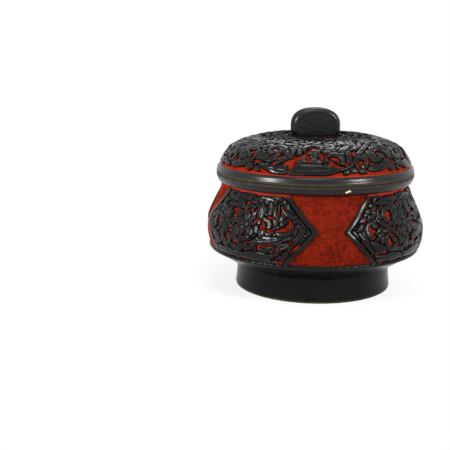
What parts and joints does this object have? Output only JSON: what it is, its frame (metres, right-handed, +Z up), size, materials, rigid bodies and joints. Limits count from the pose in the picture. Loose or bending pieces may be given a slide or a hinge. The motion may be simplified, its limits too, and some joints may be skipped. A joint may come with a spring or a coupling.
{
  "type": "carved lacquer box",
  "caption": "Round footed box of carved black and red lacquer on brass, waisted bowl with hexagonal openwork panels and a domed lift-off lid with an upright tab.",
  "frame": {"origin": "on the turning axis, on the surface that the foot stands on", "axes": "+Z up the turning axis, -Y to the front, where a plain field between two panels and the flat of the knob face"},
  "size_m": [0.124, 0.124, 0.1033],
  "materials": {
    "red_lacquer": "carved red lacquer, satin",
    "black_lacquer": "black lacquer, soft gloss, worn on its edges",
    "aged_brass": "brown aged brass"
  },
  "bodies": {
    "base": {"base_shell": "aged_brass", "base_ground": "red_lacquer", "foot_ring": "aged_brass", "foot_coat": "black_lacquer", "rope_border": "black_lacquer", "panel_front_left": "black_lacquer", "panel_front_right": "black_lacquer", "panel_back_left": "black_lacquer", "panel_back_right": "black_lacquer", "base_rim_ring": "aged_brass", "base_rim_bead": "black_lacquer", "locating_collar": "aged_brass"},
    "lid": {"lid_shell": "aged_brass", "lid_ground": "red_lacquer", "lid_rim_ring": "aged_brass", "lid_rim_bead": "black_lacquer", "lid_carving": "black_lacquer", "knob_plinth": "black_lacquer", "knob": "black_lacquer", "knob_stud": "aged_brass"}
  },
  "joints": [
    {"name": "lid_lift", "type": "slide", "parent": "base", "child": "lid", "axis": [0, 0, 1], "range_m": [0, 0.06]}
  ]
}
